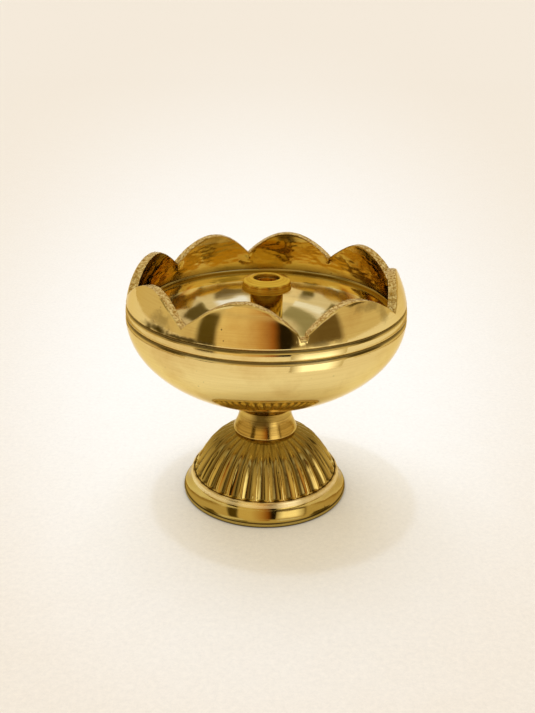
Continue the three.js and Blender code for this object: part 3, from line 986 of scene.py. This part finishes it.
def paper():
    material, tree = new_material("cream_paper")
    place = add(tree, "ShaderNodeTexCoord").outputs["Object"]
    mottle = clouds(tree, place, repeats(PAPER_MOTTLE_MM), 5)
    # Painted pool of light: the paper is whitest along one direction from the camera's place and creamier away
    # from it.
    sight = add(tree, "ShaderNodeVectorMath", {0: place, 1: tuple(CAMERA_PLACE)}, operation="SUBTRACT")
    towards = add(tree, "ShaderNodeVectorMath", {0: sight.outputs[0]}, operation="NORMALIZE")
    aside = add(tree, "ShaderNodeVectorMath", {0: towards.outputs[0], 1: tuple(PAINTED_POOL_MIDDLE)},
                operation="DISTANCE")
    painted_pool_falloff = ranged(tree, aside.outputs["Value"], PAINTED_POOL_START, PAINTED_POOL_END, -0.08, 0.92,
                  interpolation_type="SMOOTHSTEP")
    painted_pool_and_mottle = maths(tree, "MULTIPLY_ADD", mottle, 0.16, painted_pool_falloff)
    paper_with_painted_pool = mixed(tree, painted_pool_and_mottle, linear(PAINTED_POOL_WHITE), linear(PAPER_CREAM))
    fibre = clouds(tree, place, repeats(PAPER_FIBRE_MM), 6, Roughness=0.9)
    shade = ranged(tree, fibre, 0.3, 0.7, 0.91, 1.06)
    tint = mixed(tree, 1.0, paper_with_painted_pool, shade, blend_type="MULTIPLY")
    warm = mixed(tree, 1.0, tint, GLOW_COLOUR, blend_type="MULTIPLY")
    # The glow is dimmed near the foot by ambient occlusion: a painted contact shadow.
    painted_contact_shadow = add(tree, "ShaderNodeAmbientOcclusion", {"Color": warm, "Distance": CONTACT_MM * MM}, samples=8)
    matt = add(tree, "ShaderNodeBsdfPrincipled", {"Base Color": tint, "Roughness": 0.9,
                                                  "Specular IOR Level": 0.2})
    lit = add(tree, "ShaderNodeEmission", {"Color": painted_contact_shadow.outputs["Color"], "Strength": 1.0})
    share = maths(tree, "MULTIPLY", looked_at(tree), OWN_GLOW)
    surface = add(tree, "ShaderNodeMixShader", {0: share, 1: matt.outputs[0], 2: lit.outputs[0]})
    add(tree, "ShaderNodeOutputMaterial", {"Surface": surface.outputs[0]})
    return material


def floor():
    mesh = bmesh.new()
    bmesh.ops.create_grid(mesh, x_segments=1, y_segments=1, size=FLOOR_REACH)
    new_object("floor", mesh, paper())


floor()
print("paper floor laid")

# %% [markdown]
# ## What the metal mirrors
# A mirror shows the room, so a polished lamp needs one. Panels stand round it outside the picture, each over
# a range of bearings and heights as seen from the bowl, and low cards stand on the paper for the foot. Each
# is painted from a list of bearing, colour and strength, between which the colour changes softly, and some
# fade into the wall at the top. They draw the upright bands that the photograph shows on the petals, the neck
# and the ribs. Only reflections see them, so they neither darken the paper nor stand in the way in other
# views.

# %% Panels and cards
BOWL_MIDDLE = Vector((0, 0, 0.06))
WALL_COLOUR = "#D8C398"
SHEET_ROWS = 24


def painted(stops, bearing):
    for (low, first, weak), (high, second, strong) in zip(stops, stops[1:]):
        if bearing <= high:
            share = (bearing - low) / (high - low)
            pair = zip(linear(first), linear(second))
            return [a * weak * (1 - share) + b * strong * share for a, b in pair]
    return [channel * stops[-1][2] for channel in linear(stops[-1][1])]


def sheet(name, stops, rows, soft, spot):
    first, last = stops[0][0], stops[-1][0]
    columns = max(8, round(last - first))
    mesh = bmesh.new()
    glow = mesh.verts.layers.float_color.new("glow")
    bmesh.ops.create_grid(mesh, x_segments=columns, y_segments=SHEET_ROWS, size=0.5)
    for vert in mesh.verts:
        bearing = first + (last - first) * (vert.co.x + 0.5)
        row = rows[0] + (rows[1] - rows[0]) * (vert.co.y + 0.5)
        blend = clamp((row - rows[1] + soft) / soft) if soft else 0
        colours = zip(painted(stops, bearing)[:3], linear(WALL_COLOUR)[:3])
        vert[glow] = [a + (b - a) * blend for a, b in colours] + [1]
        ahead = Vector((math.sin(math.radians(bearing)), -math.cos(math.radians(bearing)), 0))
        vert.co = spot(ahead, row)
    material, tree = new_material(name)
    paint = add(tree, "ShaderNodeAttribute", attribute_name="glow")
    light = add(tree, "ShaderNodeEmission", {"Color": paint.outputs["Color"], "Strength": 1.0})
    add(tree, "ShaderNodeOutputMaterial", {"Surface": light.outputs[0]})
    piece = new_object(name, mesh, material)
    piece.visible_camera = False
    piece.visible_diffuse = False
    piece.visible_shadow = False
    print(name, "from", first, "to", last, "degrees")


def panel(name, distance, stops, heights, soft_top=0):
    def spot(ahead, row):
        height = math.radians(row)
        return BOWL_MIDDLE + distance * (ahead * math.cos(height) + Vector((0, 0, math.sin(height))))

    sheet(name, stops, heights, soft_top, spot)


def low_card(name, radius_mm, stops, heights_mm, soft_mm=0):
    sheet(name, stops, heights_mm, soft_mm, lambda ahead, row: (ahead * radius_mm + Vector((0, 0, row))) * MM)


def even(colour, low, high, level=1):
    return [(low, colour, level), (high, colour, level)]


panel("wall_all_round", 1.2, even(WALL_COLOUR, -180, 180), (-2.5, 60))
panel("ceiling", 1.2, even("#D0BE8E", -180, 180), (60, 89.5))
panel("wall_front", 1.0, [(-37, "#ECD4A2", 1), (-18, "#ECD4A2", 1), (-4, "#CDA064", 1), (8, "#A0682A", 1)],
      (-3, 45))
panel("front_room", 0.4, [(-54, WALL_COLOUR, 1), (-50, "#5A4A1E", 1), (-39, "#5A4A1E", 1),
                          (-35.5, "#ECD4A2", 1), (-18, "#ECD4A2", 1), (-4, "#CDA064", 1), (5, "#A0642A", 1),
                          (9, "#5A3812", 1), (11, "#1E1606", 1), (18.5, "#241A06", 1), (22.5, "#6E5A34", 1),
                          (27, "#7E6A42", 1), (40, "#6E5A34", 1), (56, "#6E5A34", 1), (61, WALL_COLOUR, 1)],
      (-11, 33), 6)
panel("window_right", 0.39, even("#FFF4E0", 24, 28, 1.6), (2, 12))
panel("window_high", 0.8, [(20, WALL_COLOUR, 1), (26, "#F4F4FF", 1), (56, "#F4F4FF", 1),
                           (62, WALL_COLOUR, 1)], (30, 50), 6)
panel("dark_ceiling", 0.9, even("#94865A", -120, -32), (52, 74), 8)
panel("dark_far_right", 0.9, [(74, "#9A8858", 1), (78, "#5E4E26", 1), (104, "#5E4E26", 1),
                              (110, WALL_COLOUR, 1)], (24, 47), 5)
panel("dark_far_left", 0.9, [(-100, WALL_COLOUR, 1), (-95, "#6A5A30", 1), (-79, "#6A5A30", 1),
                             (-75, "#9A8858", 1)], (24, 47), 5)
panel("pale_left", 0.9, even("#F0E8D8", -80, -34), (38, 52), 5)
low_card("white_low_right", 100, [(15, "#E0CDA4", 0.6), (24, "#F6F2F0", 1.8), (40, "#F6F2F0", 1.8),
                                  (52, "#E0CDA4", 0.8)], (10, 62), 20)
low_card("gold_low_left", 150, [(-150, "#C4A870", 1), (-138, "#A4843E", 1), (-70, "#A4843E", 1),
                                (-58, "#D8C090", 1)], (0.5, 20), 16)
low_card("gold_low_right", 150, [(64, "#D8C090", 1), (76, "#B0904C", 1), (138, "#B0904C", 1),
                                 (150, "#C4A870", 1)], (0.5, 20), 16)

# %% [markdown]
# ## Light
# The room itself lights the lamp evenly from all sides. A small weak lamp almost overhead draws the faint
# edge of the bowl's shadow, and a wide one behind darkens the paper in front of the foot. Reflections don't
# see the lamps, because no hard highlight shows in the photograph. The standard view keeps the colours as
# they are written.

# %% Lamps and world
ROOM_LIGHT = 0.52
BACKDROP = "#F4ECE0"


def lamp_above(name, energy, colour, width_degrees, towards):
    data = bpy.data.lights.new(name, "SUN")
    data.energy = energy
    data.angle = math.radians(width_degrees)
    data.color = colour
    lamp = bpy.data.objects.new(name, data)
    bpy.context.scene.collection.objects.link(lamp)
    lamp.visible_glossy = False
    lamp.matrix_world = Vector(towards).to_track_quat("Z", "Y").to_matrix().to_4x4()
    print(name, "is", width_degrees, "degrees wide")


def room():
    world = bpy.data.worlds.new("studio")
    world.use_nodes = True
    tree = world.node_tree
    tree.nodes.clear()
    walls = add(tree, "ShaderNodeBackground", {"Color": (1, 1, 1, 1), "Strength": ROOM_LIGHT})
    shown = add(tree, "ShaderNodeBackground", {"Color": linear(BACKDROP), "Strength": 1.0})
    surface = add(tree, "ShaderNodeMixShader", {0: looked_at(tree), 1: walls.outputs[0], 2: shown.outputs[0]})
    add(tree, "ShaderNodeOutputWorld", {"Surface": surface.outputs[0]})
    bpy.context.scene.world = world


lamp_above("small_lamp", 0.56, (0.64, 0.77, 1), 3, (-0.1, 0.11, 1))
lamp_above("soft_lamp", 2.32, (0.66, 0.785, 1), 44, (-0.11, 0.4, 1))
room()
bpy.context.scene.view_settings.view_transform = "Standard"
